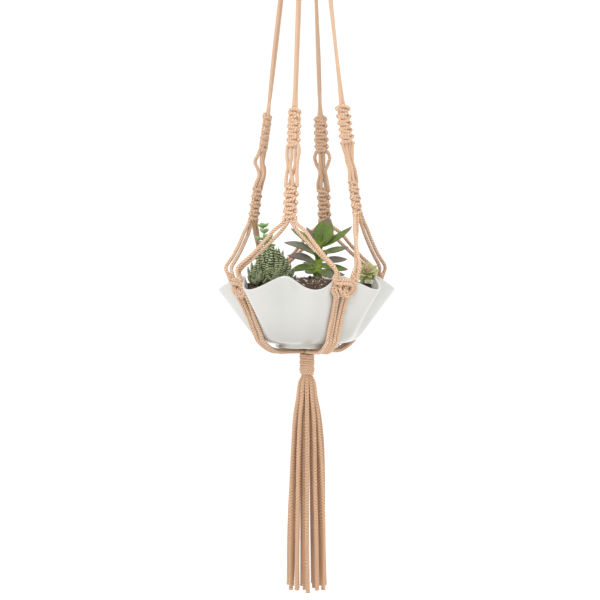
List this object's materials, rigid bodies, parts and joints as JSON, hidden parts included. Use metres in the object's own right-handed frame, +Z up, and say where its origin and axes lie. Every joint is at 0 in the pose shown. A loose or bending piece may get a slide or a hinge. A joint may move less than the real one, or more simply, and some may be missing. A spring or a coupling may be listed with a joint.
{
  "type": "hanging macrame planter",
  "caption": "Knotted jute cord hanger on a ring, with knotted arms cradling a fluted white glazed pot of succulents above a long cord tassel.",
  "frame": {"origin": "the hook's seat: the middle of the ring's inside, at its top, where it rests on a hook", "axes": "+Z up along the hanging load, +X to the right seen from the front, -Y towards the front; the ring lies in the XZ plane"},
  "size_m": [0.2584, 0.2584, 1.2211],
  "materials": {
    "jute_cord": "soft braided natural jute, matt, with loose fibres",
    "ring_steel": "satin",
    "pot_glaze": "smooth white glaze",
    "potting_mix": "loose dark potting mix with light grit",
    "crassula_leaf": "waxy light green leaf",
    "haworthia_leaf": "dark green leaf with pale bands",
    "aeonium_leaf": "green leaf with purple-grey tips",
    "echeveria_leaf": "pale powdery green leaf with a pink heart"
  },
  "bodies": {
    "ring": {"hanging_ring": "ring_steel"},
    "hanger": {"ring_loops": "jute_cord", "crown_wrap": "jute_cord", "front_top_cords": "jute_cord", "front_upper_knots": "jute_cord", "front_open_cords": "jute_cord", "front_lower_knots": "jute_cord", "right_top_cords": "jute_cord", "right_upper_knots": "jute_cord", "right_open_cords": "jute_cord", "right_lower_knots": "jute_cord", "back_top_cords": "jute_cord", "back_upper_knots": "jute_cord", "back_open_cords": "jute_cord", "back_lower_knots": "jute_cord", "left_top_cords": "jute_cord", "left_upper_knots": "jute_cord", "left_open_cords": "jute_cord", "left_lower_knots": "jute_cord", "front_right_rim_knot": "jute_cord", "front_right_leg_a": "jute_cord", "front_right_leg_b": "jute_cord", "front_right_basket_run": "jute_cord", "back_right_rim_knot": "jute_cord", "back_right_leg_a": "jute_cord", "back_right_leg_b": "jute_cord", "back_right_basket_run": "jute_cord", "back_left_rim_knot": "jute_cord", "back_left_leg_a": "jute_cord", "back_left_leg_b": "jute_cord", "back_left_basket_run": "jute_cord", "front_left_rim_knot": "jute_cord", "front_left_leg_a": "jute_cord", "front_left_leg_b": "jute_cord", "front_left_basket_run": "jute_cord", "base_gather": "jute_cord", "base_wrap": "jute_cord"},
    "pot": {"pot": "pot_glaze", "soil": "potting_mix", "stacked_crassula": "crassula_leaf", "zebra_haworthia": "haworthia_leaf", "branched_aeonium": "aeonium_leaf", "pale_echeveria": "echeveria_leaf"},
    "tassel": {"tassel_strand_01": "jute_cord", "tassel_strand_02": "jute_cord", "tassel_strand_03": "jute_cord", "tassel_strand_04": "jute_cord", "tassel_strand_05": "jute_cord", "tassel_strand_06": "jute_cord", "tassel_strand_07": "jute_cord", "tassel_strand_08": "jute_cord", "tassel_strand_09": "jute_cord", "tassel_strand_10": "jute_cord", "tassel_strand_11": "jute_cord", "tassel_strand_12": "jute_cord", "tassel_strand_13": "jute_cord", "tassel_strand_14": "jute_cord", "tassel_strand_15": "jute_cord", "tassel_strand_16": "jute_cord"}
  },
  "joints": [
    {"name": "hanger_swing", "type": "hinge", "parent": "ring", "child": "hanger", "pos_m": [0, 0, -0.0525], "axis": [1, 0, 0], "range_deg": [-45, 45]},
    {"name": "tassel_swing", "type": "hinge", "parent": "hanger", "child": "tassel", "pos_m": [0, 0, -0.8953], "axis": [0, 1, 0], "range_deg": [-30, 30]},
    {"name": "pot_lift", "type": "slide", "parent": "hanger", "child": "pot", "axis": [0, 0, 1], "range_m": [0, 0.012]}
  ]
}
